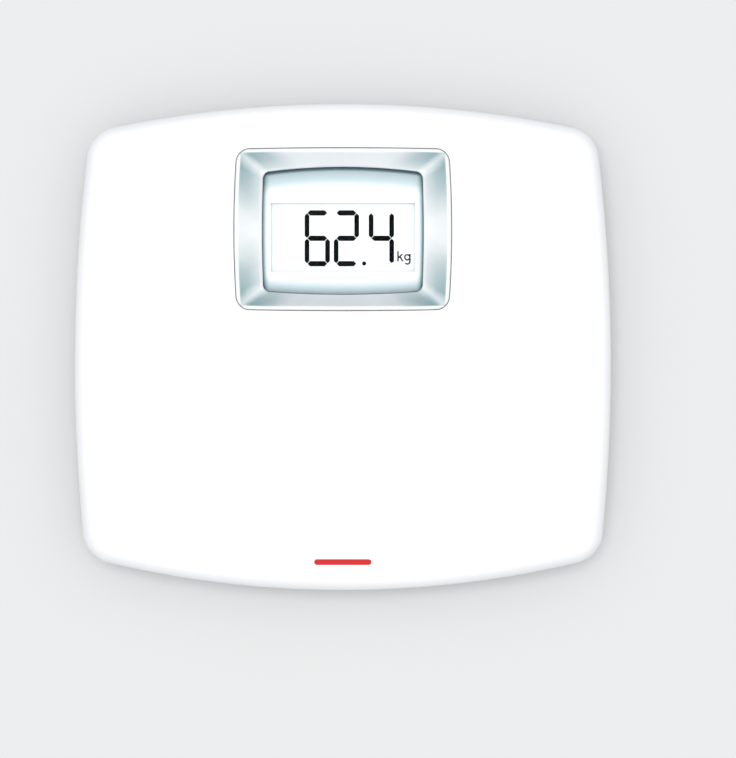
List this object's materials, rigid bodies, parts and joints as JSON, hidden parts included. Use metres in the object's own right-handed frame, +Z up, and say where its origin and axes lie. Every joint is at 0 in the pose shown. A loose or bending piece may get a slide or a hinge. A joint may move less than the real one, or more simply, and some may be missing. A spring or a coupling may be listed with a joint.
{
  "type": "digital bathroom scale",
  "caption": "Low white bathroom scale with bowed sides, a crowned platform, a silver framed display that reads weight, sprung feet and a battery door underneath.",
  "frame": {"origin": "on the floor under the middle of the platform, level with the undersides of the rubber feet", "axes": "+X to the standing user's right, +Y away from the user towards the display, +Z up"},
  "size_m": [0.32, 0.29, 0.0429],
  "materials": {
    "white_shell": "smooth satin gloss white, moulded",
    "base_plastic": "fine spark-eroded texture, off-white",
    "silver_bezel": "satin silver paint on moulded plastic",
    "foam": "closed-cell foam",
    "clear_lens": "clear acrylic",
    "white_mask": "smooth white",
    "polariser_film": "fine matt film",
    "lcd_glass": "clear",
    "segment_ink": "dark liquid-crystal bars",
    "reflector_film": "pearly diffuse reflector",
    "inner_plastic": "natural moulded",
    "elastomer": "striped conductive elastomer",
    "screw_steel": "zinc plated",
    "circuit_board": "green solder mask",
    "epoxy": "black epoxy drop",
    "chip_ceramic": "small ceramic chips",
    "capacitor_sleeve": "shrink sleeve",
    "crystal_can": "drawn can",
    "header_plastic": "natural nylon",
    "plunger_plastic": "black nylon",
    "button_plastic": "satin grey",
    "gauge_film": "polyimide film",
    "battery_sleeve": "printed steel can, no marks",
    "contact_metal": "nickel plated spring steel",
    "lead_jacket": "soft jacket",
    "cable_jacket": "soft jacket",
    "foot_plastic": "moulded",
    "foot_rubber": "soft grip rubber",
    "cell_steel": "stamped spring steel, nickel plated"
  },
  "bodies": {
    "housing": {"platform_cover": "white_shell", "base_pan": "base_plastic", "case_screws": "screw_steel", "display_bezel": "silver_bezel", "bezel_gasket": "foam", "display_lens": "clear_lens", "lcd_surround": "white_mask", "lcd_polariser": "polariser_film", "lcd_front_glass": "lcd_glass", "lcd_segments": "segment_ink", "lcd_rear_glass": "lcd_glass", "lcd_reflector": "reflector_film", "lcd_frame": "inner_plastic", "zebra_strips": "elastomer", "display_carrier": "inner_plastic", "carrier_screws": "screw_steel", "main_board": "circuit_board", "board_screws": "screw_steel", "controller_chip": "epoxy", "chip_parts": "chip_ceramic", "capacitors": "capacitor_sleeve", "clock_crystal": "crystal_can", "tap_sensor": "crystal_can", "wire_headers": "header_plastic", "unit_switch": "header_plastic", "strain_gauges": "gauge_film", "battery_1": "battery_sleeve", "battery_2": "battery_sleeve", "contact_springs": "contact_metal", "contact_plates": "contact_metal", "battery_leads": "lead_jacket", "load_cell_front_left": "cell_steel", "cell_carrier_front_left": "inner_plastic", "cell_cable_front_left": "cable_jacket", "load_cell_front_right": "cell_steel", "cell_carrier_front_right": "inner_plastic", "cell_cable_front_right": "cable_jacket", "load_cell_rear_left": "cell_steel", "cell_carrier_rear_left": "inner_plastic", "cell_cable_rear_left": "cable_jacket", "load_cell_rear_right": "cell_steel", "cell_carrier_rear_right": "inner_plastic", "cell_cable_rear_right": "cable_jacket"},
    "foot_front_left": {"foot_cup_front_left": "foot_plastic", "foot_pad_front_left": "foot_rubber"},
    "foot_front_right": {"foot_cup_front_right": "foot_plastic", "foot_pad_front_right": "foot_rubber"},
    "foot_rear_left": {"foot_cup_rear_left": "foot_plastic", "foot_pad_rear_left": "foot_rubber"},
    "foot_rear_right": {"foot_cup_rear_right": "foot_plastic", "foot_pad_rear_right": "foot_rubber"},
    "door": {"battery_door": "base_plastic"},
    "button": {"unit_button": "button_plastic", "switch_plunger": "plunger_plastic"}
  },
  "joints": [
    {"name": "foot_press_front_left", "type": "slide", "parent": "housing", "child": "foot_front_left", "axis": [0, 0, 1], "range_m": [0, 0.0005], "stiffness_N_per_m": 2000, "springref_m": -0.0013, "deforming": ["load_cell_front_left"]},
    {"name": "foot_press_front_right", "type": "slide", "parent": "housing", "child": "foot_front_right", "axis": [0, 0, 1], "range_m": [0, 0.0005], "stiffness_N_per_m": 2000, "springref_m": -0.0013, "deforming": ["load_cell_front_right"]},
    {"name": "foot_press_rear_left", "type": "slide", "parent": "housing", "child": "foot_rear_left", "axis": [0, 0, 1], "range_m": [0, 0.0005], "stiffness_N_per_m": 2000, "springref_m": -0.0013, "deforming": ["load_cell_rear_left"]},
    {"name": "foot_press_rear_right", "type": "slide", "parent": "housing", "child": "foot_rear_right", "axis": [0, 0, 1], "range_m": [0, 0.0005], "stiffness_N_per_m": 2000, "springref_m": -0.0013, "deforming": ["load_cell_rear_right"]},
    {"name": "door_hinge", "type": "hinge", "parent": "housing", "child": "door", "pos_m": [0, -0.008, 0.0082], "axis": [1, 0, 0], "range_deg": [0, 95]},
    {"name": "unit_press", "type": "slide", "parent": "housing", "child": "button", "axis": [0, 0, 1], "range_m": [0, 0.0008], "stiffness_N_per_m": 2000}
  ]
}
